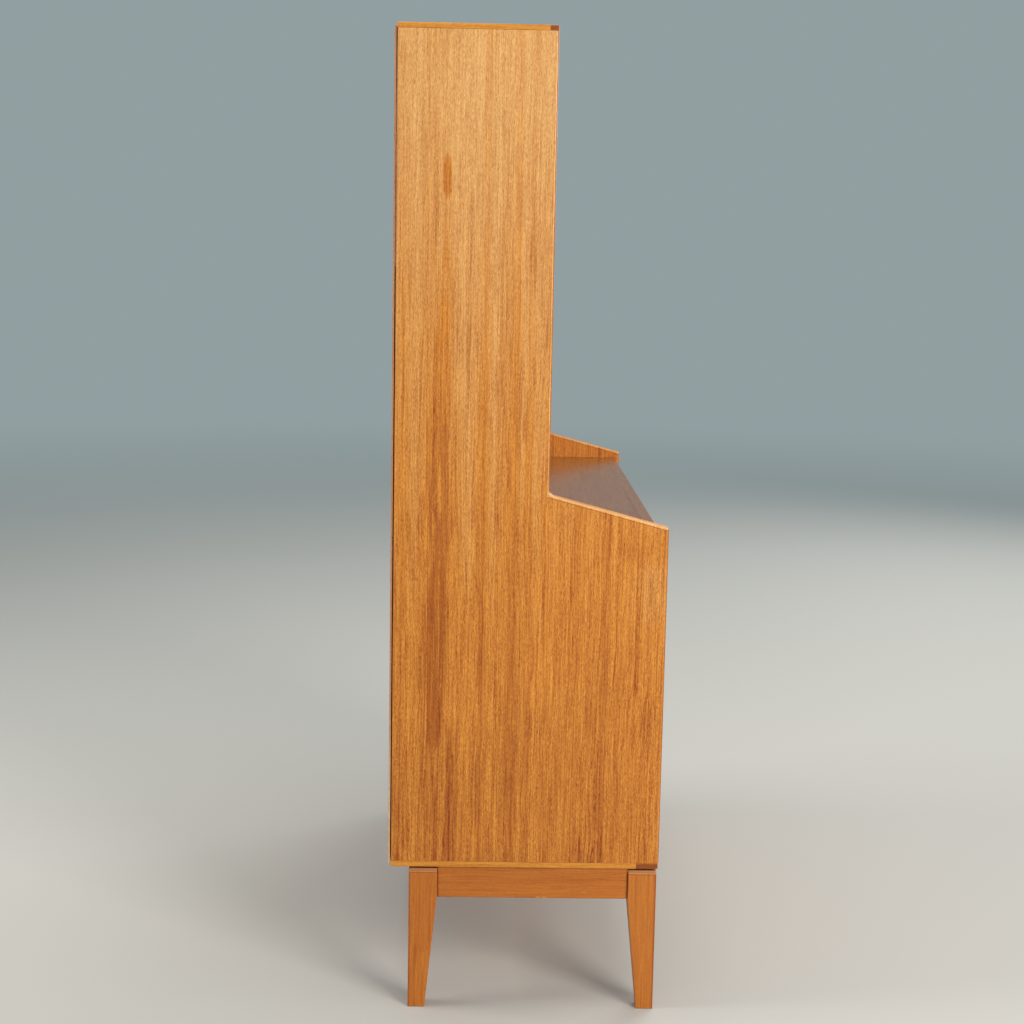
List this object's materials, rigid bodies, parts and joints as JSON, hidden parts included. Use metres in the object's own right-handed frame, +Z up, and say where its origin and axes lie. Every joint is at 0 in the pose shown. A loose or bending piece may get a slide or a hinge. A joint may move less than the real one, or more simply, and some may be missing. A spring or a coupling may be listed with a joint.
{
  "type": "secretary desk",
  "caption": "Tall stepped secretary desk in teak: shallow bookcase with sliding doors and small drawers over a chest of drawers with a pull-out writing leaf, on a tapered-leg stand.",
  "frame": {"origin": "on the floor, under the middle of the cabinet's outline", "axes": "+Z up, the front faces -Y, +X to the right seen from the front"},
  "size_m": [0.99, 0.42, 1.5],
  "materials": {
    "teak_veneer": "oiled teak veneer, satin, straight vertical grain with reddish streaks",
    "teak_solid": "solid teak, oiled, satin, slightly redder than the veneer",
    "teak_desk": "teak veneer with a semi-gloss lacquer, grain from side to side",
    "beech": "plain beech, waxed",
    "birch_ply": "thin birch plywood, clear lacquer",
    "back_ply": "thin plywood with a stained outer veneer"
  },
  "bodies": {
    "cabinet": {"side_panel_left": "teak_veneer", "side_panel_right": "teak_veneer", "top_board": "teak_veneer", "top_board_lipping": "teak_solid", "bottom_board": "teak_veneer", "bottom_board_lipping": "teak_solid", "desk_board": "teak_desk", "desk_board_lipping": "teak_solid", "leaf_back_rail": "beech", "back_board_upper": "back_ply", "back_board_lower": "back_ply", "leaf_runner_left": "beech", "leaf_runner_right": "beech", "drawer_1_runner_left": "beech", "drawer_1_runner_right": "beech", "drawer_2_runner_left": "beech", "drawer_2_runner_right": "beech", "drawer_3_runner_left": "beech", "drawer_3_runner_right": "beech", "drawer_4_runner_left": "beech", "drawer_4_runner_right": "beech", "divider_left": "teak_veneer", "divider_right": "teak_veneer", "shelf_lower": "teak_veneer", "shelf_upper": "teak_veneer", "leg_front_left": "teak_solid", "leg_front_right": "teak_solid", "leg_back_right": "teak_solid", "leg_back_left": "teak_solid", "stand_rail_left": "teak_solid", "stand_rail_right": "teak_solid", "stand_rail_front": "teak_solid", "stand_rail_back": "teak_solid"},
    "leaf": {"writing_leaf": "teak_desk", "writing_leaf_lipping": "teak_solid"},
    "drawer_1": {"drawer_1_front": "teak_veneer", "drawer_1_box": "beech", "drawer_1_bottom": "birch_ply"},
    "drawer_2": {"drawer_2_front": "teak_veneer", "drawer_2_box": "beech", "drawer_2_bottom": "birch_ply"},
    "drawer_3": {"drawer_3_front": "teak_veneer", "drawer_3_box": "beech", "drawer_3_bottom": "birch_ply"},
    "drawer_4": {"drawer_4_front": "teak_veneer", "drawer_4_box": "beech", "drawer_4_bottom": "birch_ply"},
    "small_drawer_left": {"small_drawer_left_front": "teak_veneer", "small_drawer_left_box": "beech", "small_drawer_left_bottom": "birch_ply"},
    "small_drawer_middle": {"small_drawer_middle_front": "teak_veneer", "small_drawer_middle_box": "beech", "small_drawer_middle_bottom": "birch_ply"},
    "small_drawer_right": {"small_drawer_right_front": "teak_veneer", "small_drawer_right_box": "beech", "small_drawer_right_bottom": "birch_ply"},
    "door_left": {"sliding_door_left": "teak_veneer"},
    "door_right": {"sliding_door_right": "teak_veneer"}
  },
  "joints": [
    {"name": "leaf_slide", "type": "slide", "parent": "cabinet", "child": "leaf", "axis": [0, -1, 0], "range_m": [0, 0.25]},
    {"name": "drawer_1_slide", "type": "slide", "parent": "cabinet", "child": "drawer_1", "axis": [0, -1, 0], "range_m": [0, 0.28]},
    {"name": "drawer_2_slide", "type": "slide", "parent": "cabinet", "child": "drawer_2", "axis": [0, -1, 0], "range_m": [0, 0.28]},
    {"name": "drawer_3_slide", "type": "slide", "parent": "cabinet", "child": "drawer_3", "axis": [0, -1, 0], "range_m": [0, 0.28]},
    {"name": "drawer_4_slide", "type": "slide", "parent": "cabinet", "child": "drawer_4", "axis": [0, -1, 0], "range_m": [0, 0.28]},
    {"name": "small_drawer_left_slide", "type": "slide", "parent": "cabinet", "child": "small_drawer_left", "axis": [0, -1, 0], "range_m": [0, 0.15]},
    {"name": "small_drawer_middle_slide", "type": "slide", "parent": "cabinet", "child": "small_drawer_middle", "axis": [0, -1, 0], "range_m": [0, 0.15]},
    {"name": "small_drawer_right_slide", "type": "slide", "parent": "cabinet", "child": "small_drawer_right", "axis": [0, -1, 0], "range_m": [0, 0.15]},
    {"name": "door_left_slide", "type": "slide", "parent": "cabinet", "child": "door_left", "axis": [1, 0, 0], "range_m": [0, 0.454]},
    {"name": "door_right_slide", "type": "slide", "parent": "cabinet", "child": "door_right", "axis": [-1, 0, 0], "range_m": [0, 0.454]}
  ]
}
